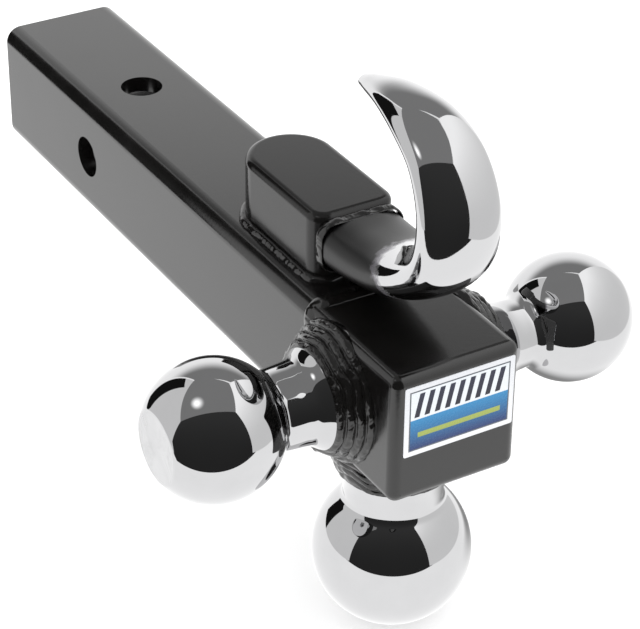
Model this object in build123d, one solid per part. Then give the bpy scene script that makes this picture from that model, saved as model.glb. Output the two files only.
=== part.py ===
from build123d import *
import math
import os

# Three-ball receiver mount with a tow hook, all welded steel.
# Frame: +Y runs along the shank towards the tow vehicle, +Z is up, and the
# origin is where the two cross-drilled pin holes meet on the shank's centre line.

# ---- driving dimensions, millimetres ----
INCH = 25.4

SHANK = 2 * INCH              # square outside size of the shank
WALL = INCH / 4               # wall of the square tube
SHANK_CORNER = INCH / 4       # outside corner radius of the tube
BORE_CORNER = 3.0             # inside corner radius of the tube
REAR_END = 3 * INCH           # open end of the tube, behind the pin holes
END_EASE = 0.8                # ease of the sawn end of the tube
PIN_HOLE = 16.7               # clearance hole for a 5/8 inch hitch pin
PAST = 1.0                    # cuts run this far past what they cut

BALL_AXIS = -195.0            # station of the three ball axes along the shank
FRONT_FACE = BALL_AXIS - 38.1
SEAM = BALL_AXIS + 17.0       # where the head block butts against the tube
HEAD_EDGE = 3.8               # rounding of the head block's edges
TENON = 20.0                  # square tenon of the head block inside the tube
TENON_PLAY = 0.25
TENON_ROOT = 2.0              # the tenon starts this far inside the block

STUD_R = 12.7                 # studs of the balls, seated in the head block
SIDE_STUD_DEPTH = 17.4
LOWER_STUD_DEPTH = 11.0
SEAT = SHANK / 2              # head faces, measured from the centre line

LEFT_BALL = 2 * INCH
RIGHT_BALL = 1.875 * INCH
LOWER_BALL = 2.3125 * INCH
SIDE_REACH = 73.0             # ball centre to centre line, left and right
LOWER_REACH = 75.9            # ball centre to centre line, below
BALL_FLAT_ANGLE = 31.5        # edge of the turned flat on the far pole, off the axis

# Each neck, from the top of its weld to where it meets the cove under the ball:
# its radius, and its distance from the centre line of the shank.
LEFT_NECK = [(18.8, 35.0), (15.9, 39.0), (15.3, 42.0), (15.0, 46.5)]
LEFT_NECK_R = 14.7
LEFT_COVE = 2.8
RIGHT_NECK = [(18.8, 35.0), (15.3, 40.0), (13.4, 44.5)]
RIGHT_NECK_R = 12.7
RIGHT_COVE = 5.0
LOWER_NECK = [(19.8, 40.0), (18.6, 45.0)]
LOWER_NECK_R = 18.2
LOWER_COVE = 5.0
WELD_R = 26.0                 # outer toe of the neck welds
WELD_SUNK = 5.0               # the welds reach this far below the head's faces
WELD_PASSES = 3
PASS_CROWN = 0.2              # height of each weld pass, as a share of its width
NECK_FLARE = 1.4              # how much steeper a neck starts than its first run
BEAD_CROWN = 1.3              # how far the seam bead stands proud
BEAD_WIDTH = 9.0
BEAD_FALL = 0.9               # drop of the bead's sloped rims, as a share of its crown
BEAD_RUN = 2.2                # and their width, as a share of it too

BLOCK_WIDTH = 33.7            # anchor block of the hook
BLOCK_REAR = -104.0
BLOCK_FRONT = -167.0
BLOCK_HEIGHT = 26.4
BLOCK_TOP_EDGE = 3.0
BLOCK_FRONT_CORNER = 7.0
BLOCK_BEAD_WIDTH = 3.2
BLOCK_BEAD_HEIGHT = 4.0
BLOCK_BEAD_SUNK = 3.0         # its root lies this far below the top of the tube
NECK_BEAD_LENGTH = 4.5
NECK_BEAD_PROUD = 2.6         # height of the bead at the block, round the hook's neck
NECK_BEAD_TOE = 0.4           # and at its far end

LABEL_WIDTH = 44.0
LABEL_HEIGHT = 27.8
LABEL_RISE = 7.4              # label centre above the centre line
LABEL_SHIFT = 0.8
LABEL_THICKNESS = 0.3
LABEL_CORNER = 0.8

# Stations of the hook, from the anchor block to the tip. Each has its place
# along the shank, its height, the slope of the centre line in degrees (0 is
# forwards, 90 is up), half the width, half the depth, and how square it is.
HOOK_STATIONS = [
    (-167.0, 40.6, 0, 16.4, 9.4, 3.0),
    (-183.0, 41.6, 4, 16.0, 9.3, 2.6),
    (-199.0, 44.6, 18, 15.6, 9.3, 2.3),
    (-214.0, 51.4, 36, 15.6, 9.5, 2.1),
    (-225.2, 61.0, 62, 15.8, 9.6, 2.0),
    (-229.0, 73.0, 90, 15.6, 9.4, 2.0),
    (-227.2, 85.5, 108, 15.0, 9.0, 2.0),
    (-219.5, 97.0, 138, 13.9, 8.3, 2.0),
    (-206.0, 103.6, 163, 12.1, 7.3, 2.0),
    (-190.0, 105.4, 180, 8.6, 5.4, 2.0),
    (-177.0, 104.0, 190, 5.2, 3.4, 2.0),
    (-169.0, 102.4, 194, 2.8, 1.9, 2.0),
]
TIP_ROUND = 1.4
SECTION_POINTS = 16          # points round each section of the hook

os.makedirs("parts", exist_ok=True)


def save(solid, name):
    export_step(solid, f"parts/{name}.step")


def square_bar(size, corner, start, end):
    """A bar of rounded square section along Y."""
    plane = Plane(origin=(0, start, 0), x_dir=(1, 0, 0), z_dir=(0, 1, 0))
    return extrude(plane * RectangleRounded(size, size, corner), end - start)


def pin_drill():
    across = Rot(0, 90, 0) * Cylinder(PIN_HOLE / 2, 2 * SHANK)
    down = Cylinder(PIN_HOLE / 2, 2 * SHANK)
    return across + down


def make_shank_tube():
    tube = square_bar(SHANK, SHANK_CORNER, SEAM, REAR_END)
    end_edges = tube.faces().sort_by(Axis.Y)[-1].edges()
    tube = chamfer(end_edges, END_EASE)
    tube -= square_bar(SHANK - 2 * WALL, BORE_CORNER, SEAM - PAST, REAR_END + PAST)
    return tube - pin_drill()


def side_bore(side):
    centre = side * (SEAT - SIDE_STUD_DEPTH / 2)
    return Pos(centre, BALL_AXIS, 0) * Rot(0, 90, 0) * Cylinder(STUD_R, SIDE_STUD_DEPTH)


def lower_bore():
    centre = -(SEAT - LOWER_STUD_DEPTH / 2)
    return Pos(0, BALL_AXIS, centre) * Cylinder(STUD_R, LOWER_STUD_DEPTH)


def make_head_block():
    length = SEAM - FRONT_FACE
    block = Pos(0, FRONT_FACE + length / 2, 0) * Box(SHANK, length, SHANK)
    long_edges = block.edges().filter_by(Axis.Y)
    front_edges = block.faces().sort_by(Axis.Y)[0].edges()
    block = fillet(long_edges + front_edges, HEAD_EDGE)
    tenon = SHANK - 2 * WALL - 2 * TENON_PLAY
    block += square_bar(tenon, BORE_CORNER, SEAM - TENON_ROOT, SEAM + TENON)
    return block - side_bore(-1) - side_bore(1) - lower_bore()


def ball_profile(ball, reach, stud_depth, neck, neck_r, cove):
    """Half section of a ball, its neck and stud: X is radius, Y runs outwards."""
    r = ball / 2
    flat_r = r * math.sin(math.radians(BALL_FLAT_ANGLE))
    pole = reach + r * math.cos(math.radians(BALL_FLAT_ANGLE))
    centre = Vector(neck_r + cove, reach - math.sqrt((r + cove) ** 2 - (neck_r + cove) ** 2))
    to_ball = (Vector(0, reach) - centre).normalized()
    to_middle = (Vector(-1, 0) + to_ball).normalized()
    root = centre + Vector(-cove, 0)
    under_ball = centre + to_ball * cove
    flange_r, flange_end = neck[0]
    flare = Vector(*neck[1]) - Vector(*neck[0])
    with BuildSketch() as section:
        with BuildLine():
            Polyline((0, SEAT - stud_depth), (STUD_R, SEAT - stud_depth), (STUD_R, SEAT))
            Polyline((STUD_R, SEAT), (flange_r, SEAT), (flange_r, flange_end))
            Spline(*neck, root, tangents=((flare.X * NECK_FLARE, flare.Y), (0, 1)))
            ThreePointArc(root, centre + to_middle * cove, under_ball)
            ThreePointArc(under_ball, (r, reach), (flat_r, pole))
            Polyline((flat_r, pole), (0, pole), (0, SEAT - stud_depth))
        make_face()
    return section.sketch


def outward(side):
    """Frame whose Y runs out of the left (-1), right (1) or lower (0) face."""
    if side == 0:
        return Plane(origin=(0, BALL_AXIS, 0), x_dir=(1, 0, 0), z_dir=(0, 1, 0))
    return Plane(origin=(0, BALL_AXIS, 0), x_dir=(0, -side, 0), z_dir=(0, 0, 1))


def turned(section, side):
    plane = outward(side)
    axis = Axis((0, BALL_AXIS, 0), tuple(plane.y_dir))
    return revolve(plane * section, axis, 360)


def make_left_ball():
    section = ball_profile(
        LEFT_BALL, SIDE_REACH, SIDE_STUD_DEPTH, LEFT_NECK, LEFT_NECK_R, LEFT_COVE
    )
    return turned(section, -1)


def make_right_ball():
    section = ball_profile(
        RIGHT_BALL, SIDE_REACH, SIDE_STUD_DEPTH, RIGHT_NECK, RIGHT_NECK_R, RIGHT_COVE
    )
    return turned(section, 1)


def make_lower_ball():
    section = ball_profile(
        LOWER_BALL, LOWER_REACH, LOWER_STUD_DEPTH, LOWER_NECK, LOWER_NECK_R, LOWER_COVE
    )
    return turned(section, 0)


def weld_profile(neck):
    """Half section of a fillet of several weld passes around a neck."""
    inner_r, end = neck[0]
    sunk = SEAT - WELD_SUNK
    toe = Vector(WELD_R, SEAT)
    step = (Vector(inner_r, end) - toe) / WELD_PASSES
    proud = Vector(step.Y, -step.X) * PASS_CROWN
    with BuildSketch() as section:
        with BuildLine():
            Polyline((inner_r, end), (inner_r, sunk), (WELD_R, sunk), (WELD_R, SEAT))
            for i in range(WELD_PASSES):
                start = toe + step * i
                ThreePointArc(start, start + step * 0.5 + proud, start + step)
        make_face()
    return section.sketch


def hook_section(y, z, slope, half_width, half_depth, square, grow=0.0):
    """Rounded outline of the hook, square to its centre line at one station."""
    turn = math.radians(slope)
    plane = Plane(
        origin=(0, y, z),
        x_dir=(1, 0, 0),
        z_dir=(0, -math.cos(turn), math.sin(turn)),
    )
    points = []
    for i in range(SECTION_POINTS):
        angle = 2 * math.pi * (i + 0.5) / SECTION_POINTS
        c = math.cos(angle)
        s = math.sin(angle)
        across = math.copysign(abs(c) ** (2 / square), c) * (half_width + grow)
        deep = math.copysign(abs(s) ** (2 / square), s) * (half_depth + grow)
        points.append((across, deep))
    return plane * make_face(Spline(points, periodic=True))


def make_tow_hook():
    hook = loft([hook_section(*station) for station in HOOK_STATIONS])
    tip = hook.faces().filter_by(GeomType.PLANE).sort_by(Axis.Z)[-1]
    return fillet(tip.edges(), TIP_ROUND)


def block_plan(grow=0.0):
    """Plan of the anchor block: round behind, with rounded corners in front."""
    half = BLOCK_WIDTH / 2 + grow
    rear = BLOCK_REAR + grow
    front = BLOCK_FRONT - grow
    corner = BLOCK_FRONT_CORNER + grow
    with BuildSketch() as plan:
        with BuildLine():
            ThreePointArc((half, rear - half), (0, rear), (-half, rear - half))
            Line((-half, rear - half), (-half, front + corner))
            RadiusArc((-half, front + corner), (-half + corner, front), -corner)
            Line((-half + corner, front), (half - corner, front))
            RadiusArc((half - corner, front), (half, front + corner), -corner)
            Line((half, front + corner), (half, rear - half))
        make_face()
    return plan.sketch


def make_hook_block():
    block = extrude(Pos(0, 0, SEAT) * block_plan(), BLOCK_HEIGHT)
    top_edges = block.faces().sort_by(Axis.Z)[-1].edges()
    return fillet(top_edges, BLOCK_TOP_EDGE)


def make_block_weld():
    slope = math.degrees(math.atan2(BLOCK_BEAD_WIDTH, BLOCK_BEAD_HEIGHT))
    plan = block_plan(BLOCK_BEAD_WIDTH)
    skirt = extrude(Pos(0, 0, SEAT) * plan, BLOCK_BEAD_HEIGHT, taper=slope)
    root = extrude(Pos(0, 0, SEAT - BLOCK_BEAD_SUNK) * plan, BLOCK_BEAD_SUNK)
    return skirt + root


def make_neck_bead():
    y, z, slope, half_width, half_depth, square = HOOK_STATIONS[0]
    wide = hook_section(y, z, slope, half_width, half_depth, square, NECK_BEAD_PROUD)
    end = y - NECK_BEAD_LENGTH
    thin = hook_section(end, z, slope, half_width, half_depth, square, NECK_BEAD_TOE)
    return loft([wide, thin])


def make_seam_weld():
    proud = SHANK + 2 * BEAD_CROWN
    bead = square_bar(proud, SHANK_CORNER, SEAM - BEAD_WIDTH / 2, SEAM + BEAD_WIDTH / 2)
    ends = bead.faces().sort_by(Axis.Y)
    rims = ends[0].edges() + ends[-1].edges()
    return chamfer(rims, BEAD_CROWN * BEAD_FALL, BEAD_CROWN * BEAD_RUN)


def make_front_label():
    plane = Plane(
        origin=(LABEL_SHIFT, FRONT_FACE, LABEL_RISE),
        x_dir=(1, 0, 0),
        z_dir=(0, -1, 0),
    )
    outline = RectangleRounded(LABEL_WIDTH, LABEL_HEIGHT, LABEL_CORNER)
    return extrude(plane * outline, LABEL_THICKNESS)


def largest(shape):
    return max(shape.solids(), key=lambda solid: solid.volume)


def main():
    tube = make_shank_tube()
    head = make_head_block()
    left = make_left_ball()
    right = make_right_ball()
    lower = make_lower_ball()
    block = make_hook_block()
    hook = make_tow_hook()

    side_weld = weld_profile(LEFT_NECK)
    lower_weld = weld_profile(LOWER_NECK)
    body = square_bar(SHANK, SHANK_CORNER, SEAM, REAR_END)
    neck_bead = make_neck_bead() - hook - block - body - head
    block_bead = make_block_weld() - block - hook - body - head - neck_bead
    seam = make_seam_weld() - body - head - left - right - lower - hook
    seam = largest(seam - block_bead - neck_bead)
    welds = {}
    welds["lower_neck_weld"] = turned(lower_weld, 0) - head - body - seam
    for side, name in ((-1, "left_neck_weld"), (1, "right_neck_weld")):
        ring = turned(side_weld, side) - head - body - seam
        welds[name] = ring - welds["lower_neck_weld"]

    save(tube, "shank_tube")
    save(head, "head_block")
    save(left, "left_ball")
    save(right, "right_ball")
    save(lower, "lower_ball")
    for name, ring in welds.items():
        save(largest(ring), name)
    save(seam, "head_seam_weld")
    save(block, "hook_block")
    save(hook, "tow_hook")
    save(block_bead, "hook_block_weld")
    save(neck_bead, "hook_neck_weld")
    save(make_front_label(), "front_label")


main()
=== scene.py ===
import math

import bmesh
import bpy
from mathutils import Matrix, Vector, noise


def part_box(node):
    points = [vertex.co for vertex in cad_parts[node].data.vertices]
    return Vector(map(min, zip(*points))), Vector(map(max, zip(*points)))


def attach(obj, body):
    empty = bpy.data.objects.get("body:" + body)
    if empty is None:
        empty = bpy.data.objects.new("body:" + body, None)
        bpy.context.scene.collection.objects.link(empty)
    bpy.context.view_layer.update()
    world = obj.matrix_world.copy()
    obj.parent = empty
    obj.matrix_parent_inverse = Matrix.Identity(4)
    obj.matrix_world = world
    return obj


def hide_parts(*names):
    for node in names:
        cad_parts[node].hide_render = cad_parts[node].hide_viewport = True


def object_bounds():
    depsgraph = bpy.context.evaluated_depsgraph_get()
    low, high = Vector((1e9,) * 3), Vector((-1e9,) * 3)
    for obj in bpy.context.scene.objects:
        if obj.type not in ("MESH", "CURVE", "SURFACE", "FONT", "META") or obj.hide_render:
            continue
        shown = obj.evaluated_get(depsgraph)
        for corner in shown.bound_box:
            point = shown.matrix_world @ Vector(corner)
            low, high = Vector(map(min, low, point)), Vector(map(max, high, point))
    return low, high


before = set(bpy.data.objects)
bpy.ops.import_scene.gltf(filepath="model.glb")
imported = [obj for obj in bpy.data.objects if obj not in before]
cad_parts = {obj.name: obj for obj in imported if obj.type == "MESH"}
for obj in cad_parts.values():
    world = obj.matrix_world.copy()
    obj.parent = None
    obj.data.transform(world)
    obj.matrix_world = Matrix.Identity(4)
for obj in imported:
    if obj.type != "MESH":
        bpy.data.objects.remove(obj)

cad_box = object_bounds()
scene = bpy.context.scene

# ---- shank tube ----
# Square structural steel tube, sawn to length and cross-drilled for the hitch pin.
# It is black powder coated: a thick, smooth, baked skin with a faint orange peel,
# so it mirrors softly and its colour is a warm near-black.


def linear(code):
    """Linear RGBA of an sRGB hex colour such as "1c1b1b"."""
    parts = [int(code[i:i + 2], 16) / 255 for i in (0, 2, 4)]
    return [p / 12.92 if p <= 0.04045 else ((p + 0.055) / 1.055) ** 2.4 for p in parts] + [1.0]


def node(tree, kind, settings=None, **links):
    """Add one node: settings go to its sockets or properties, links to its sockets."""
    made = tree.nodes.new(kind)
    for name, value in (settings or {}).items():
        if name in made.inputs:
            made.inputs[name].default_value = value
        else:
            setattr(made, name, value)
    for name, source in links.items():
        tree.links.new(source, made.inputs[name.replace("_", " ")])
    return made


def new_material(name):
    """An empty material and its node tree."""
    material = bpy.data.materials.new(name)
    material.use_nodes = True
    material.node_tree.nodes.clear()
    return material, material.node_tree


def grain(tree, place, size, detail):
    """Noise whose features are about a given size across."""
    settings = {"Scale": 1 / size, "Detail": detail}
    return node(tree, "ShaderNodeTexNoise", settings, Vector=place).outputs["Fac"]


def remap(tree, value, low, high, to_low=0.0, to_high=1.0, kind="LINEAR"):
    """A value that runs between two levels, mapped onto two others."""
    settings = {"From Min": low, "From Max": high, "To Min": to_low, "To Max": to_high}
    settings["interpolation_type"] = kind
    return node(tree, "ShaderNodeMapRange", settings, Value=value).outputs["Result"]


def blend(tree, factor, low, high):
    """Colour that runs from one hex colour to another."""
    mix = node(tree, "ShaderNodeMix", {"data_type": "RGBA"}, Factor=factor)
    mix.inputs[6].default_value = linear(low)
    mix.inputs[7].default_value = linear(high)
    return mix.outputs[2]


def relief(tree, height, strength, distance):
    """Surface directions that make a height look raised."""
    settings = {"Strength": strength, "Distance": distance}
    return node(tree, "ShaderNodeBump", settings, Height=height).outputs["Normal"]


def surface(tree, settings=None, **links):
    """The shader that ends a material, with its settings and what feeds it."""
    shader = node(tree, "ShaderNodeBsdfPrincipled", settings, **links)
    node(tree, "ShaderNodeOutputMaterial", Surface=shader.outputs["BSDF"])


MM = 0.001
PEEL_SIZE = 1.6 * MM          # orange peel, about 1.6 mm from one dimple to the next
PEEL_STRENGTH = 0.25
CLOUD_SIZE = 22 * MM          # slow changes in gloss where the coat was handled
CLOUD_SPAN = (0.3, 0.7)       # levels of the noise between which the gloss changes
COAT_DARK = "0b0a0a"
COAT_LIGHT = "151413"


def powder_coat(name, peel_height, rough_low, rough_high, ior):
    """Baked black powder coat, with its orange peel as high as the piece has it."""
    material, tree = new_material(name)
    place = node(tree, "ShaderNodeTexCoord").outputs["Object"]
    cloud = grain(tree, place, CLOUD_SIZE, detail=4.0)
    colour = blend(tree, cloud, COAT_DARK, COAT_LIGHT)
    rough = remap(tree, cloud, *CLOUD_SPAN, rough_low, rough_high)
    peel = grain(tree, place, PEEL_SIZE, detail=1.0)
    bump = relief(tree, peel, PEEL_STRENGTH, peel_height)
    surface(tree, {"IOR": ior}, Base_Color=colour, Roughness=rough, Normal=bump)
    return material


def finish_node(name, material):
    """Give a piece that keeps its CAD shape its finish."""
    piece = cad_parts[name]
    piece.data.materials.clear()
    piece.data.materials.append(material)


tube_coat = powder_coat(
    "powder_coat_on_tube", peel_height=0.05 * MM, rough_low=0.13, rough_high=0.2, ior=1.66
)
finish_node("shank_tube", tube_coat)
tube_low, tube_high = (Vector(corner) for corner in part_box("shank_tube"))
SEAT = tube_high.z            # the head's faces are flush with the tube's
SEAM = tube_low.y             # where the tube ends and the head begins

# ---- head block ----
# Solid steel block welded to the end of the tube, sawn and milled square with its
# edges broken by hand. It wears the same black coat, a little rougher where milled.

head_coat = powder_coat(
    "powder_coat_on_milled_block", peel_height=0.06 * MM, rough_low=0.13, rough_high=0.2, ior=1.62
)
finish_node("head_block", head_coat)

# ---- balls ----
# Three forged and turned hitch balls with cove necks and a flat turned on the far
# pole, bright chrome plated. The plate mirrors cleanly and is slightly grey; the
# flat keeps the faint rings of the lathe.

FLAT_ANGLE = math.radians(31.5)   # from the pole to the edge of the flat
FLAT_MARGIN = 0.02 * MM       # faces this close to the pole belong to the flat
EASE = 0.5 * MM               # soft edge of the turned flat
EASE_DROP = EASE * 0.15
STUD_R = 12.7 * MM
SIDE_STUD = 17.4 * MM         # how deep the studs go into the head
LOWER_STUD = 11.0 * MM
NECK_FOOT = 1 * MM            # the neck begins this far inside the head
NECK_STEPS = 6
COVE_STEPS = 12
BALL_STEPS = 72
FLAT_RINGS = 8
AROUND = 144
PLATE_CLEAN = "c6c6c7"
PLATE_DULL = "bfbfc0"
SMUDGE_SIZE = 9 * MM
SMUDGE_SPAN = (0.4, 0.75)
RING_PITCH = 0.9 * MM         # lathe rings, drawn coarser than real so that they show
PITCH_TO_SCALE = math.tau / 20    # at scale 1 the wave texture's rings are this far apart
PIT_SIZE = 1.8 * MM
RING_HEIGHT = 0.12 * MM
ball_low, ball_high = (Vector(corner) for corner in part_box("lower_ball"))
BALL_AXIS = (ball_low.y + ball_high.y) / 2


def compute(tree, operation, *values, kind="ShaderNodeMath", result="Value"):
    """A maths node; each value is a constant or another node's output."""
    made = node(tree, kind, {"operation": operation})
    for socket, value in zip(made.inputs, values):
        if isinstance(value, bpy.types.NodeSocket):
            tree.links.new(value, socket)
        else:
            socket.default_value = value
    return made.outputs[result]


def chrome(name, rough_low, rough_high, ring_axis=None):
    """Bright chrome plate; with a ring axis it also has lathe rings about it."""
    material, tree = new_material(name)
    place = node(tree, "ShaderNodeTexCoord").outputs["Object"]
    smudge = grain(tree, place, SMUDGE_SIZE, detail=5.0)
    looks = {"Base_Color": blend(tree, smudge, PLATE_CLEAN, PLATE_DULL)}
    looks["Roughness"] = remap(tree, smudge, *SMUDGE_SPAN, rough_low, rough_high)
    if ring_axis:
        centre, spread = ring_axis
        vector = {"kind": "ShaderNodeVectorMath", "result": "Vector"}
        offset = compute(tree, "SUBTRACT", place, centre, **vector)
        across = compute(tree, "MULTIPLY", offset, spread, **vector)
        wave = {
            "wave_type": "RINGS",
            "rings_direction": "SPHERICAL",
            "Scale": PITCH_TO_SCALE / RING_PITCH,
            "Distortion": 2.5,
            "Detail": 3.0,
        }
        rings = node(tree, "ShaderNodeTexWave", wave, Vector=across).outputs["Fac"]
        pits = grain(tree, place, PIT_SIZE, detail=3.0)
        height = compute(tree, "ADD", rings, pits)
        looks["Normal"] = relief(tree, height, 0.5, RING_HEIGHT)
    surface(tree, {"Metallic": 1.0}, **looks)
    return material


def through(points, steps):
    """Points of a smooth curve that passes through the given ones."""
    ends = [points[0] * 2 - points[1], *points, points[-1] * 2 - points[-2]]
    curve = []
    for a, b, c, d in zip(ends, ends[1:], ends[2:], ends[3:]):
        for step in range(steps):
            t = step / steps
            curve.append(
                b
                + (c - a) * (t / 2)
                + (a * 2 - b * 5 + c * 4 - d) * (t * t / 2)
                + (b * 3 - a - c * 3 + d) * (t ** 3 / 2)
            )
    return [*curve, points[-1].copy()]


def arc(centre, radius, start, end, steps):
    """Points of an arc; angles are radians from the radial direction."""
    return [
        centre + Vector((math.cos(angle), math.sin(angle))) * radius
        for angle in (start + (end - start) * k / steps for k in range(steps + 1))
    ]


def ball_outline(r, reach, stud_depth, neck, cove):
    """Half section of a ball and its neck: distance from the axis, and along it."""
    neck_r = neck[-1].x
    centre = Vector((neck_r + cove, reach - math.sqrt((r + cove) ** 2 - (neck_r + cove) ** 2)))
    root = Vector((neck_r, centre.y))
    to_ball = math.atan2(reach - centre.y, -centre.x)
    flat_r = r * math.sin(FLAT_ANGLE)
    pole = reach + r * math.cos(FLAT_ANGLE)
    base = SEAT - stud_depth
    foot = SEAT - NECK_FOOT
    outline = [Vector((0, base)), Vector((STUD_R, base)), Vector((STUD_R, foot))]
    outline += [Vector((neck[0].x, foot))]
    outline += through([*neck[:-1], root], NECK_STEPS)
    outline += arc(centre, cove, math.pi, to_ball, COVE_STEPS)[1:]
    ease_angle = math.pi / 2 - FLAT_ANGLE - EASE / r
    outline += arc(Vector((0, reach)), r, to_ball - math.pi, ease_angle, BALL_STEPS)[1:]
    outline += [Vector((flat_r, pole - EASE_DROP)), Vector((flat_r - EASE, pole))]
    outline += [Vector((flat_r * k / FLAT_RINGS, pole)) for k in range(FLAT_RINGS - 1, -1, -1)]
    return outline


def turned(outline, outward, steps, closed):
    """Spin an outline about the axis that runs out of the head at the balls' station."""
    mesh = bmesh.new()
    verts = [mesh.verts.new((point.x, 0, point.y)) for point in outline]
    pairs = list(zip(verts, verts[1:]))
    if closed:
        pairs.append((verts[-1], verts[0]))
    edges = [mesh.edges.new(pair) for pair in pairs]
    bmesh.ops.spin(
        mesh,
        geom=verts + edges,
        cent=(0, 0, 0),
        axis=(0, 0, 1),
        angle=math.tau,
        steps=steps,
        use_merge=True,
    )
    bmesh.ops.remove_doubles(mesh, verts=mesh.verts, dist=1e-6)
    turn = Vector((0, 0, 1)).rotation_difference(Vector(outward)).to_matrix().to_4x4()
    place = Matrix.Translation((0, BALL_AXIS, 0)) @ turn
    return mesh, place


def make_object(name, mesh, materials):
    """Close a bmesh into a smooth-shaded piece that rides on the body."""
    bmesh.ops.recalc_face_normals(mesh, faces=mesh.faces)
    if mesh.calc_volume(signed=True) < 0:
        bmesh.ops.reverse_faces(mesh, faces=mesh.faces)
    for face in mesh.faces:
        face.smooth = True
    data = bpy.data.meshes.new(name)
    mesh.to_mesh(data)
    mesh.free()
    for material in materials:
        data.materials.append(material)
    piece = bpy.data.objects.new(name, data)
    scene.collection.objects.link(piece)
    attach(piece, "root")
    return piece


ball_chrome = chrome("bright_chrome_plate", rough_low=0.02, rough_high=0.045)


def make_ball(name, outward, stud_depth, neck, cove):
    """One ball with its neck and stud, as large and as far out as its box says."""
    low, high = (Vector(corner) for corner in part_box(name))
    r = (high.y - low.y) / 2
    axis = [abs(part) for part in outward].index(1)
    pole = high[axis] if outward[axis] > 0 else -low[axis]
    reach = pole - r * math.cos(FLAT_ANGLE)
    outline = ball_outline(r, reach, stud_depth, [Vector(p) * MM for p in neck], cove)
    mesh, place = turned(outline, outward, AROUND, closed=False)
    for face in mesh.faces:
        on_flat = face.calc_center_median().z > pole - FLAT_MARGIN
        face.material_index = 1 if on_flat else 0
    mesh.transform(place)
    centre = place @ Vector((0, 0, pole))
    spread = [0.0 if k == axis else 1.0 for k in range(3)]
    flat = chrome(name + "_turned_flat", rough_low=0.1, rough_high=0.3, ring_axis=(centre, spread))
    piece = make_object("chrome_" + name, mesh, [ball_chrome, flat])
    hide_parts(name)


# Each neck, from the head outwards: how thick it is (radius) and how far along, in mm.
LEFT_NECK = [(18.8, 35.0), (15.9, 39.0), (15.3, 42.0), (15.0, 46.5), (14.7, 50.9)]
RIGHT_NECK = [(18.8, 35.0), (15.3, 40.0), (13.4, 44.5), (12.7, 50.3)]
LOWER_NECK = [(19.8, 40.0), (18.6, 45.0), (18.2, 50.4)]
TIGHT_COVE = 2.8 * MM         # radius where the neck meets the ball
WIDE_COVE = 5.0 * MM
make_ball("left_ball", (-1, 0, 0), SIDE_STUD, LEFT_NECK, TIGHT_COVE)
make_ball("right_ball", (1, 0, 0), SIDE_STUD, RIGHT_NECK, WIDE_COVE)
make_ball("lower_ball", (0, 0, -1), LOWER_STUD, LOWER_NECK, WIDE_COVE)

# ---- neck welds ----
# Each ball's neck is held by a fillet of several weld passes, laid round it one over
# the other and left as welded under the black coat, so every pass shows its crescents.

WELD_R = 26.0 * MM            # outer toe of the fillet
WELD_LAP = 0.6                # mm that the fillet runs into the neck, and up it
WELD_RISE = 0.5
TOE_SUNK = 1.2 * MM
WELD_SUNK = 5.0 * MM
FOOT_INSET = 1 * MM
FACE_MARGIN = 0.1 * MM        # below the toe the weld is inside the head and stays plain
PASSES = 4
PASS_STEPS = 12
PASS_HEIGHT = 1.0 * MM
PASS_CROWN = 0.7              # below 1 the passes are fuller than a half wave
PASS_SWAY = 0.9               # of a pass's width that a pass strays
RIPPLE_PITCH = 2.6 * MM
RIPPLE_HEIGHT = 0.2 * MM
RIPPLE_CREST = 1.5
RIPPLE_BOW = 1.1              # pitches that a crescent's middle is ahead of its ends
WANDER = 2.4                  # pitches that the crescents wander
WANDER_SIZE = 5 * MM
STRENGTH_SIZE = 9 * MM
LUMP_HEIGHT = 0.5 * MM
LUMP_SIZE = 3.4 * MM
LUMPS_ACROSS = 1.5
WELD_AROUND = 540
weld_coat = powder_coat(
    "powder_coat_on_weld", peel_height=0.09 * MM, rough_low=0.08, rough_high=0.16, ior=1.6
)


def ripple(along, across, seed):
    """Height of a weld bead: crescents along it, lower at its sides, never regular."""
    wander = noise.noise(Vector((along / WANDER_SIZE, seed, 0)))
    phase = (along / RIPPLE_PITCH + wander * WANDER - RIPPLE_BOW * (2 * across - 1) ** 2) % 1
    crest = 1 - abs(2 * phase - 1) ** RIPPLE_CREST
    strength = 0.6 + noise.noise(Vector((along / STRENGTH_SIZE, 0, seed + 5)))
    lump = noise.noise(Vector((along / LUMP_SIZE, across * LUMPS_ACROSS, seed + 9)))
    return math.sin(math.pi * across) * (RIPPLE_HEIGHT * crest * strength + LUMP_HEIGHT * lump)


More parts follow.
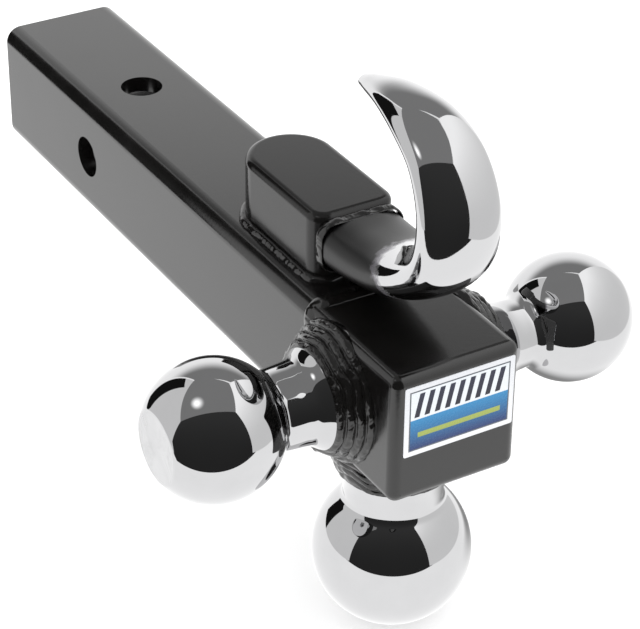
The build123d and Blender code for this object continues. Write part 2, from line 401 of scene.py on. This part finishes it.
def make_neck_weld(name, outward, neck, seed):
    """Fillet of several passes between a ball's neck and the head."""
    inner = Vector((neck[0][0] - WELD_LAP, neck[0][1] + WELD_RISE)) * MM
    toe = Vector((WELD_R, SEAT - TOE_SUNK))
    slope = inner - toe
    proud = Vector((slope.y, -slope.x)).normalized()
    foot = SEAT - WELD_SUNK
    steps = PASSES * PASS_STEPS
    outline = [toe + slope * k / steps for k in range(steps + 1)]
    outline += [Vector((inner.x, foot)), Vector((WELD_R - FOOT_INSET, foot))]
    mesh, place = turned(outline, outward, WELD_AROUND, closed=True)
    for vert in mesh.verts:
        radius = math.hypot(vert.co.x, vert.co.y)
        angle = math.atan2(vert.co.y, vert.co.x)
        up_slope = (Vector((radius, vert.co.z)) - toe).dot(slope) / slope.length_squared
        if vert.co.z < toe.y - FACE_MARGIN or not 0 < up_slope < 1:
            continue
        sway = noise.noise(Vector((math.cos(angle) * 2, math.sin(angle) * 2, seed)))
        level = up_slope * PASSES + PASS_SWAY * sway * math.sin(math.pi * up_slope)
        across = level % 1
        number = math.floor(level)
        along = angle * radius
        height = PASS_HEIGHT * math.sin(math.pi * across) ** PASS_CROWN
        height += ripple(along, across, seed + 3 * number)
        radius_now = radius + proud.x * height
        vert.co.x = radius_now * math.cos(angle)
        vert.co.y = radius_now * math.sin(angle)
        vert.co.z += proud.y * height
    mesh.transform(place)
    piece = make_object(name + "_passes", mesh, [weld_coat])
    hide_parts(name)


make_neck_weld("left_neck_weld", (-1, 0, 0), LEFT_NECK, seed=1)
make_neck_weld("right_neck_weld", (1, 0, 0), RIGHT_NECK, seed=20)
make_neck_weld("lower_neck_weld", (0, 0, -1), LOWER_NECK, seed=40)

# ---- head seam weld ----
# One flat bead joins the head block to the tube all the way round. It is mostly
# under the neck welds, and its crescents show only at the corners and on top.

BEAD_SECTION = 24
CORNER_STEPS = 40
RING_R = 10                   # radius of the ring that a bead is bent from; its section has radius 1


def rounded_loop(half_width, low, high, low_corner, high_corner, spacing):
    """Evenly spaced points round a rounded rectangle, with its outward directions."""
    corners = [
        (half_width - high_corner, high - high_corner, high_corner, 0),
        (high_corner - half_width, high - high_corner, high_corner, 1),
        (low_corner - half_width, low + low_corner, low_corner, 2),
        (half_width - low_corner, low + low_corner, low_corner, 3),
    ]
    dense = []
    for x, y, corner, quarter in corners:
        start = quarter * math.pi / 2
        dense += arc(Vector((x, y)), corner, start, (quarter + 1) * math.pi / 2, CORNER_STEPS)
    dense.append(dense[0])
    lengths = [(b - a).length for a, b in zip(dense, dense[1:])]
    total = sum(lengths)
    count = round(total / spacing)
    points = []
    done = 0.0
    index = 0
    for k in range(count):
        target = total * k / count
        while done + lengths[index] < target:
            done += lengths[index]
            index += 1
        points.append(dense[index].lerp(dense[index + 1], (target - done) / lengths[index]))
    directions = []
    for k in range(count):
        ahead = points[(k + 1) % count] - points[k - 1]
        directions.append(Vector((ahead.y, -ahead.x)).normalized())
    return points, directions


def make_bead(name, loop, placement, out_size, axis_size, seed):
    """Bend a spun ring of oval section onto a loop, and lay weld crescents on it."""
    points, directions = loop
    count = len(points)
    mesh = bmesh.new()
    turn = Matrix.Translation((RING_R, 0, 0)) @ Matrix.Rotation(math.pi / 2, 4, "X")
    bmesh.ops.create_circle(mesh, segments=BEAD_SECTION, radius=1, matrix=turn)
    bmesh.ops.spin(
        mesh,
        geom=mesh.verts[:] + mesh.edges[:],
        cent=(0, 0, 0),
        axis=(0, 0, 1),
        angle=math.tau,
        steps=count,
        use_merge=True,
    )
    bmesh.ops.remove_doubles(mesh, verts=mesh.verts, dist=1e-4)
    spacing = (points[1] - points[0]).length
    for vert in mesh.verts:
        index = round(math.atan2(vert.co.y, vert.co.x) / math.tau * count) % count
        outward = math.hypot(vert.co.x, vert.co.y) - RING_R
        upward = vert.co.z
        across = math.acos(max(-1, min(1, upward))) / math.pi
        lift = ripple(index * spacing, across, seed) if outward > 0 else 0
        place = points[index] + directions[index] * (outward * (out_size + lift))
        vert.co = Vector((place.x, place.y, upward * (axis_size + lift)))
    mesh.transform(placement)
    piece = make_object(name + "_bead", mesh, [weld_coat])
    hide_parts(name)


TUBE_CORNER = 6.35 * MM
BEAD_STEP = 0.32 * MM
across_shank = Matrix.Translation((0, SEAM, 0)) @ Matrix.Rotation(math.pi / 2, 4, "X")
seam_loop = rounded_loop(SEAT, -SEAT, SEAT, TUBE_CORNER, TUBE_CORNER, BEAD_STEP)
make_bead("head_seam_weld", seam_loop, across_shank, out_size=1.2 * MM, axis_size=3.9 * MM, seed=60)

# ---- anchor block of the hook ----
# Flame-cut steel block, round behind and radiused in front, that carries the hook.
# It is ground smooth and coated with the rest.

block_coat = powder_coat(
    "powder_coat_on_ground_block", peel_height=0.05 * MM, rough_low=0.14, rough_high=0.22, ior=1.46
)
finish_node("hook_block", block_coat)
block_low, block_high = (Vector(corner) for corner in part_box("hook_block"))

# ---- anchor block weld ----
# A narrow fillet runs round the foot of the anchor block on top of the tube.

BLOCK_CORNER = 7.0 * MM
FOOT_OUT = 0.3 * MM           # the bead's middle runs this far outside the block
FOOT_UP = 0.6 * MM            # and this far above the tube
foot_half = block_high.x + FOOT_OUT
on_tube = Matrix.Translation((0, 0, SEAT + FOOT_UP))
foot_loop = rounded_loop(
    foot_half,
    block_low.y - FOOT_OUT,
    block_high.y + FOOT_OUT,
    BLOCK_CORNER,
    foot_half,
    BEAD_STEP,
)
make_bead("hook_block_weld", foot_loop, on_tube, out_size=2.0 * MM, axis_size=2.0 * MM, seed=70)

# ---- tow hook ----
# Drop-forged hook of flattened oval section, bent up and back to a blunt tip and
# chrome plated. Its neck is painted with the block, and the paint has worn thin and
# grey where it ends, just before the bend.

# Each station: place along the shank and height in mm, slope of the centre line in
# degrees, half the width and half the depth in mm, and how square the section is.
HOOK_STATIONS = [
    (-167.0, 40.6, 0, 16.4, 9.4, 3.0),
    (-183.0, 41.6, 4, 16.0, 9.3, 2.6),
    (-199.0, 44.6, 18, 15.6, 9.3, 2.3),
    (-214.0, 51.4, 36, 15.6, 9.5, 2.1),
    (-225.2, 61.0, 62, 15.8, 9.6, 2.0),
    (-229.0, 73.0, 90, 15.6, 9.4, 2.0),
    (-227.2, 85.5, 108, 15.0, 9.0, 2.0),
    (-219.5, 97.0, 138, 13.9, 8.3, 2.0),
    (-206.0, 103.6, 163, 12.1, 7.3, 2.0),
    (-190.0, 105.4, 180, 8.6, 5.4, 2.0),
    (-177.0, 104.0, 190, 5.2, 3.4, 2.0),
    (-170.4, 102.8, 193, 3.2, 2.2, 2.0),
]
TIP_STATIONS = [(0.9, 0.86), (1.4, 0.6)]   # further on in mm, and share of the last section
HOOK_AROUND = 64
HOOK_STEPS = 6
PAINT_END = -200 * MM
PAINT_WEAR = 5 * MM
PAINT_FADE = PAINT_WEAR * 1.5
PAINT_LEAN = 1.0              # the paint runs further forwards low on the neck
PAINT_TOP = 62 * MM           # above this the paint ends, and it is gone by PAINT_GONE
PAINT_GONE = 68 * MM
NECK_TOP = 50 * MM
HOOK_PLATE = "c4c4c5"
WORN_PAINT = "77757a"
PAINT_ROUGH = 0.36
FLECK_SIZE = 2.6 * MM
FORGED_SIZE = 14 * MM         # soft unevenness left by the forging dies
FORGED_HEIGHT = 0.5 * MM


def hook_rings():
    """Stations of the hook, filled in between with a smooth curve."""
    path = through([Vector((y, z, slope)) for y, z, slope, *_ in HOOK_STATIONS], HOOK_STEPS)
    sizes = through([Vector(station[3:]) for station in HOOK_STATIONS], HOOK_STEPS)
    rings = [(*place, *size) for place, size in zip(path, sizes)]
    y, z, slope, half_width, half_depth, square = rings[-1]
    ahead = Vector((-math.cos(math.radians(slope)), math.sin(math.radians(slope))))
    for beyond, share in TIP_STATIONS:
        place = Vector((y, z)) + ahead * beyond
        rings.append((*place, slope, half_width * share, half_depth * share, square))
    return rings


def shape_ring(verts, ring):
    """Move a ring of vertices onto one rounded section of the hook."""
    y, z, slope, half_width, half_depth, square = ring
    lean = math.radians(slope)
    for k, vert in enumerate(verts):
        angle = math.tau * k / len(verts)
        c, s = math.cos(angle), math.sin(angle)
        x = math.copysign(abs(c) ** (2 / square), c) * half_width
        d = math.copysign(abs(s) ** (2 / square), s) * half_depth
        vert.co = Vector((x, y + d * math.sin(lean), z + d * math.cos(lean))) * MM


def painted_chrome():
    """Chrome plate with black paint up to PAINT_END, worn and grey at its edge."""
    material, tree = new_material("chrome_plate_with_painted_neck")
    place = node(tree, "ShaderNodeTexCoord").outputs["Object"]
    axes = node(tree, "ShaderNodeSeparateXYZ", Vector=place).outputs
    flecks = grain(tree, place, FLECK_SIZE, detail=6.0)
    lean = compute(tree, "MULTIPLY_ADD", axes["Z"], -PAINT_LEAN, axes["Y"])
    edge = compute(tree, "MULTIPLY_ADD", flecks, 2 * PAINT_WEAR, lean)
    paint_from = PAINT_END - PAINT_LEAN * NECK_TOP
    covered = remap(tree, edge, paint_from, paint_from + PAINT_FADE)
    low_part = remap(tree, axes["Z"], PAINT_GONE, PAINT_TOP)
    paint = compute(tree, "MULTIPLY", covered, low_part)
    colour = node(tree, "ShaderNodeValToRGB", Fac=paint)
    colour.color_ramp.elements[0].color = linear(HOOK_PLATE)
    colour.color_ramp.elements[1].color = linear(COAT_DARK)
    colour.color_ramp.elements.new(0.5).color = linear(WORN_PAINT)
    polish = remap(tree, grain(tree, place, SMUDGE_SIZE, detail=4.0), *SMUDGE_SPAN, 0.03, 0.07)
    rough = node(tree, "ShaderNodeMix", Factor=paint, A=polish)
    rough.inputs[3].default_value = PAINT_ROUGH
    forged = grain(tree, place, FORGED_SIZE, detail=1.0)
    surface(
        tree,
        Base_Color=colour.outputs["Color"],
        Metallic=compute(tree, "SUBTRACT", 1.0, paint),
        Roughness=rough.outputs[0],
        Normal=relief(tree, forged, 0.2, FORGED_HEIGHT),
    )
    return material


rings = hook_rings()
mesh = bmesh.new()
ring_verts = bmesh.ops.create_circle(mesh, segments=HOOK_AROUND, radius=1, cap_ends=False)["verts"]
shape_ring(ring_verts, rings[0])
root_edges = mesh.edges[:]
edges = root_edges
for ring in rings[1:]:
    grown = bmesh.ops.extrude_edge_only(mesh, edges=edges)["geom"]
    fresh = [item for item in grown if isinstance(item, bmesh.types.BMVert)]
    edges = [item for item in grown if isinstance(item, bmesh.types.BMEdge) and item.is_boundary]
    partner = {}
    for vert in fresh:
        for edge in vert.link_edges:
            other = edge.other_vert(vert)
            if other in ring_verts:
                partner[other] = vert
    ring_verts = [partner[vert] for vert in ring_verts]
    shape_ring(ring_verts, ring)
bmesh.ops.contextual_create(mesh, geom=root_edges)
tip = bmesh.ops.contextual_create(mesh, geom=edges)["faces"]
bmesh.ops.poke(mesh, faces=tip)
hook = make_object("chrome_tow_hook", mesh, [painted_chrome()])
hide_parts("tow_hook")

# ---- hook neck weld ----
# The hook's neck is welded to the front of the anchor block, and the bead is coated
# with the block.

NECK_CORNER = 6 * MM
BEAD_AHEAD = 1.6 * MM         # the bead's middle lies this far in front of the block
bead_y = block_low.y - BEAD_AHEAD
across_neck = Matrix.Translation((0, bead_y, 0)) @ Matrix.Rotation(math.pi / 2, 4, "X")
_, neck_z, _, neck_half, neck_depth, _ = (value * MM for value in HOOK_STATIONS[0])
neck_loop = rounded_loop(
    neck_half, neck_z - neck_depth, neck_z + neck_depth, NECK_CORNER, NECK_CORNER, BEAD_STEP
)
make_bead("hook_neck_weld", neck_loop, across_neck, out_size=0.5 * MM, axis_size=2.2 * MM, seed=80)

# ---- front label ----
# Printed vinyl sticker on the front face, under a clear film: a silver-white border,
# a thin dark line, a white panel of plain hazard stripes, and a blue panel that
# darkens downwards behind one straight pale stripe. It carries no lettering.

BORDER = 1.9 * MM
LINE = 0.5 * MM
LABEL_CORNER = 0.8 * MM
LABEL_CORNER_STEPS = 5
PANEL_SPLIT = 0.52            # share of the panel's height that is blue
PRINT_LIFT = 0.02 * MM        # thickness of one layer of print
LAYERS = 3
PANEL_GAP = 0.02 * MM         # between the two panels, so that each is a sheet of its own
BAR_COUNT = 9
BAR_SHARE = 0.5
BAR_LEAN = 2.1 * MM
BAR_MARGIN = 1.4 * MM
BAR_END_GAP = 0.9 * MM
STRIPE_MARGIN = 3.0 * MM
STRIPE_LOW = 4.6 * MM         # the plain stripe, up from the foot of the panel
STRIPE_HIGH = 6.6 * MM
VINYL_GRAIN = 0.8 * MM


def vinyl(name, low_colour, high_colour, low_z, high_z):
    """Printed vinyl that runs from one colour to another up the label."""
    material, tree = new_material(name)
    place = node(tree, "ShaderNodeTexCoord").outputs["Object"]
    axes = node(tree, "ShaderNodeSeparateXYZ", Vector=place).outputs
    height = remap(tree, axes["Z"], low_z, high_z)
    fade = blend(tree, height, low_colour, high_colour)
    rough = remap(tree, grain(tree, place, VINYL_GRAIN, detail=2.0), 0.0, 1.0, 0.2, 0.34)
    surface(tree, {"IOR": 1.5}, Base_Color=fade, Roughness=rough)
    return material


label_low, label_high = (Vector(corner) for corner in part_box("front_label"))
centre = (label_low + label_high) / 2
size = label_high - label_low
low_z = label_low.z + BORDER
split_z = low_z + (size.z - 2 * BORDER) * PANEL_SPLIT
DARK_LINE, WHITE_PANEL, BLUE_PANEL, NAVY_INK, GREEN_INK = range(1, 6)   # the white sheet is 0
finishes = [
    vinyl("silver_white_vinyl", "e2e3e6", "d2d4d8", label_low.z, label_high.z),
    vinyl("dark_print_line", "5a6068", "4a4f57", label_low.z, label_high.z),
    vinyl("white_print_panel", "dfe3e8", "d5dade", label_low.z, label_high.z),
    vinyl("blue_print_panel", "14235e", "1f7fb4", low_z, split_z),
    vinyl("navy_print_bars", "0c0f24", "12183a", split_z, label_high.z),
    vinyl("yellow_green_print", "7f8f3c", "a9b45a", low_z, split_z),
]
mesh = bmesh.new()
bmesh.ops.create_grid(mesh, x_segments=1, y_segments=1, size=0.5)
bmesh.ops.scale(mesh, vec=(size.x, size.z, 1), verts=mesh.verts)
bmesh.ops.bevel(
    mesh,
    geom=mesh.verts[:],
    offset=LABEL_CORNER,
    affect="VERTICES",
    segments=LABEL_CORNER_STEPS,
    profile=0.5,
    material=-1,
)


def thicken(faces, height):
    """Turn flat faces into a closed sheet that rises by a height."""
    raised = bmesh.ops.extrude_face_region(mesh, geom=faces, use_keep_orig=True)["geom"]
    lifted = [item for item in raised if isinstance(item, bmesh.types.BMVert)]
    bmesh.ops.translate(mesh, vec=(0, 0, height), verts=lifted)


def ink(corners, index, layer):
    """One printed shape, a thin sheet on one of the layers above the white vinyl."""
    lift = size.y - (LAYERS - layer) * PRINT_LIFT
    face = mesh.faces.new([mesh.verts.new((x, y, lift)) for x, y in corners])
    face.material_index = index
    thicken([face], PRINT_LIFT)


def ink_box(left, right, low, high, index, layer):
    """A printed rectangle."""
    ink([(left, low), (right, low), (right, high), (left, high)], index, layer)


thicken(mesh.faces[:], size.y - LAYERS * PRINT_LIFT)
line_x = size.x / 2 - BORDER
line_y = size.z / 2 - BORDER
panel_x = line_x - LINE
panel_y = line_y - LINE
split = split_z - centre.z
ink_box(-line_x, line_x, -line_y, line_y, DARK_LINE, layer=0)
ink_box(-panel_x, panel_x, split, panel_y, WHITE_PANEL, layer=1)
ink_box(-panel_x, panel_x, -panel_y, split - PANEL_GAP, BLUE_PANEL, layer=1)
bars_from = -panel_x + BAR_MARGIN
bar_pitch = 2 * (panel_x - BAR_MARGIN) / BAR_COUNT
bar_low = split + BAR_END_GAP
bar_high = panel_y - BAR_END_GAP
for k in range(BAR_COUNT):
    left = bars_from + bar_pitch * k
    right = left + bar_pitch * BAR_SHARE
    foot = [(left, bar_low), (right, bar_low)]
    head = [(right + BAR_LEAN, bar_high), (left + BAR_LEAN, bar_high)]
    ink(foot + head, NAVY_INK, layer=2)
stripe_x = panel_x - STRIPE_MARGIN
ink_box(-stripe_x, stripe_x, STRIPE_LOW - panel_y, STRIPE_HIGH - panel_y, GREEN_INK, layer=2)
on_front = Matrix.Translation((centre.x, label_high.y, centre.z))
mesh.transform(on_front @ Matrix.Rotation(math.pi / 2, 4, "X"))
label = make_object("printed_front_label", mesh, finishes)
for face in label.data.polygons:
    face.use_smooth = False
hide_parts("front_label")

# ---- studio ----
# A plain pale floor under even white light. Around it stands a light tent that only
# polished surfaces see: white cloth walls, a grey ceiling with one soft lamp, a dark
# mouth on the camera's side and a dark gap between two of the cloths.

TURN = math.radians(-30.888)
ACROSS = Vector((math.cos(TURN), math.sin(TURN), 0))
TOWARDS = Vector((math.sin(TURN), -math.cos(TURN), 0))
UP = Vector((0, 0, 1))
CLEAR = 0.3 * MM              # between the hitch, the table card and the floor
FLOOR = cad_box[0][2] - CLEAR
FLOOR_SIZE = 30
DAYLIGHT = 1.3
WHITE = 1.33                  # how brightly the cloths glow
GREY = 0.29
DARK = 0.028
# The tent, in metres across from the pin hole and from there towards the camera.
LEFT, RIGHT, BACK, MOUTH = -0.337, 0.420, -0.300, 0.430
TABLE = FLOOR + CLEAR
TABLE_EDGE = 0.385
GAP_FRONT, GAP_REAR, GAP_TOP = -0.03, -0.258, 0.50
TOP = 0.95
CEILING_HEIGHT = 0.446        # at the left wall, CEILING_FROM towards the camera
CEILING_FROM = 0.200
CEILING_RISE = 0.322          # metres up for each metre to the right
CEILING_FALL = 0.76           # metres down for each metre towards the camera
LAMP = Vector((-0.0775, 0.279, 0.29))
LAMP_R = 0.066
LAMP_GLOW = 2.2
SHADE = Vector((0.150, 0.085, FLOOR + 0.5 * MM))   # painted shadow of the hitch on the table cloth, seen only in reflections
SHADE_R = 0.085
SHADE_CORE = 0.02
SHADE_GLOW = 0.35
ROUND_CARD_SIDES = 32


def glow(name, strength, low=None, high=None, high_strength=None):
    """Lit cloth; with low and high heights its light changes from one to the other."""
    material, tree = new_material(name)
    light = node(tree, "ShaderNodeEmission", {"Strength": strength})
    if low is not None:
        place = node(tree, "ShaderNodeTexCoord").outputs["Object"]
        axes = node(tree, "ShaderNodeSeparateXYZ", Vector=place).outputs
        level = remap(tree, axes["Z"], low, high, strength, high_strength, kind="SMOOTHSTEP")
        tree.links.new(level, light.inputs["Strength"])
    node(tree, "ShaderNodeOutputMaterial", Surface=light.outputs["Emission"])
    return material


def card(name, corners, material):
    """A flat card of the tent, given across, towards the camera, and up."""
    mesh = bmesh.new()
    verts = [mesh.verts.new(ACROSS * u + TOWARDS * w + UP * z) for u, w, z in corners]
    mesh.faces.new(verts)
    data = bpy.data.meshes.new(name)
    mesh.to_mesh(data)
    mesh.free()
    data.materials.append(material)
    piece = bpy.data.objects.new(name, data)
    scene.collection.objects.link(piece)
    piece.visible_camera = False
    piece.visible_diffuse = False
    piece.visible_shadow = False
    return piece


def wall(name, start, end, low, high, material):
    """An upright card between two places on the floor plan."""
    card(name, [(*start, low), (*end, low), (*end, high), (*start, high)], material)


def ceiling_height(u, w):
    """The ceiling slopes: up to the right, and down towards the camera."""
    return CEILING_HEIGHT + CEILING_RISE * (u - LEFT) - CEILING_FALL * (w - CEILING_FROM)


def spot(name, middle, inner, radius, strength, rim_strength):
    """A round card whose light changes softly from its middle to its rim."""
    material, tree = new_material(name)
    place = node(tree, "ShaderNodeTexCoord").outputs["Object"]
    centre = ACROSS * middle.x + TOWARDS * middle.y + UP * middle.z
    distance = compute(tree, "DISTANCE", place, centre, kind="ShaderNodeVectorMath")
    fall = remap(tree, distance, inner, radius, strength, rim_strength, kind="SMOOTHSTEP")
    light = node(tree, "ShaderNodeEmission", Strength=fall)
    node(tree, "ShaderNodeOutputMaterial", Surface=light.outputs["Emission"])
    rim = []
    for k in range(ROUND_CARD_SIDES):
        angle = math.tau * k / ROUND_CARD_SIDES
        rim.append(middle + Vector((math.cos(angle), math.sin(angle), 0)) * radius)
    card(name, rim, material)


white_cloth = glow("white_cloth", WHITE)
side_cloth = glow("side_cloth", 0.9)
fading_cloth = glow("fading_cloth", WHITE, low=0.13, high=0.46, high_strength=GREY)
mouth_dark = glow("dark_mouth", DARK, low=FLOOR, high=0.36, high_strength=0.047)
gap_dark = glow("dark_gap", 0.01)
right_cloth = glow("right_cloth", 0.95, low=0.0, high=0.6, high_strength=1.5)
wall("mouth", (LEFT, MOUTH), (RIGHT, MOUTH), FLOOR, TOP, mouth_dark)
wall("left_cloth", (LEFT, MOUTH), (LEFT, GAP_FRONT), FLOOR, TOP, side_cloth)
wall("gap", (LEFT, GAP_FRONT), (LEFT, GAP_REAR), FLOOR, GAP_TOP, gap_dark)
wall("over_gap_cloth", (LEFT, GAP_FRONT), (LEFT, GAP_REAR), GAP_TOP, TOP, side_cloth)
wall("left_rear_cloth", (LEFT, GAP_REAR), (LEFT, BACK), FLOOR, TOP, white_cloth)
wall("rear_cloth", (LEFT, BACK), (RIGHT, BACK), FLOOR, TOP, fading_cloth)
wall("right_cloth", (RIGHT, BACK), (RIGHT, MOUTH), FLOOR, TOP, right_cloth)
corners = [(LEFT, MOUTH), (RIGHT, MOUTH), (RIGHT, BACK), (LEFT, BACK)]
card("ceiling", [(u, w, ceiling_height(u, w)) for u, w in corners], glow("grey_ceiling", GREY))
card(
    "table",
    [(LEFT, TABLE_EDGE, TABLE), (RIGHT, TABLE_EDGE, TABLE), (RIGHT, BACK, TABLE), (LEFT, BACK, TABLE)],
    white_cloth,
)
card(
    "before_table",
    [(LEFT, MOUTH, TABLE), (RIGHT, MOUTH, TABLE), (RIGHT, TABLE_EDGE, TABLE), (LEFT, TABLE_EDGE, TABLE)],
    mouth_dark,
)
spot("soft_round_lamp", LAMP, 0.0, LAMP_R, LAMP_GLOW, GREY)
# The table cloth is dimmed behind the lower ball: a painted shadow of the hitch, which only polished
# surfaces see.
spot("shade_behind_ball", SHADE, SHADE_CORE, SHADE_R, SHADE_GLOW, WHITE)

floor_material, tree = new_material("pale_matt_floor")
floor_looks = {
    "Base Color": linear("fafafa"),
    "Roughness": 0.9,
    "Emission Color": linear("ffffff"),
    "Emission Strength": 0.15,
}
surface(tree, floor_looks)
mesh = bmesh.new()
level = Matrix.Translation((0, 0, FLOOR))
bmesh.ops.create_grid(mesh, x_segments=1, y_segments=1, size=FLOOR_SIZE, matrix=level)
data = bpy.data.meshes.new("floor")
mesh.to_mesh(data)
mesh.free()
data.materials.append(floor_material)
floor = bpy.data.objects.new("floor", data)
scene.collection.objects.link(floor)

world = bpy.data.worlds.new("studio")
scene.world = world
world.use_nodes = True
sky = world.node_tree.nodes["Background"].inputs
sky["Color"].default_value = (1, 1, 1, 1)
sky["Strength"].default_value = DAYLIGHT
scene.view_settings.view_transform = "Standard"

# ---- camera ----
# A long lens from the front left, well above the hitch.

camera = bpy.data.cameras.new("camera")
camera.lens = 137.62
camera.sensor_width = 36.0
camera.sensor_fit = "HORIZONTAL"
camera.clip_start = 0.05
camera.clip_end = 100
rig = bpy.data.objects.new("camera", camera)
scene.collection.objects.link(rig)
TILT = math.radians(32.079)
ROLL = math.radians(0.723)
STAND = (-0.39064, -0.79517, 0.47151)
back = TOWARDS * math.cos(TILT) + UP * math.sin(TILT)
level_top = back.cross(ACROSS)
side = math.cos(ROLL) * ACROSS + math.sin(ROLL) * level_top
top = math.cos(ROLL) * level_top - math.sin(ROLL) * ACROSS
turn = Matrix((side, top, back)).transposed().to_4x4()
rig.matrix_world = Matrix.Translation(STAND) @ turn
scene.camera = rig
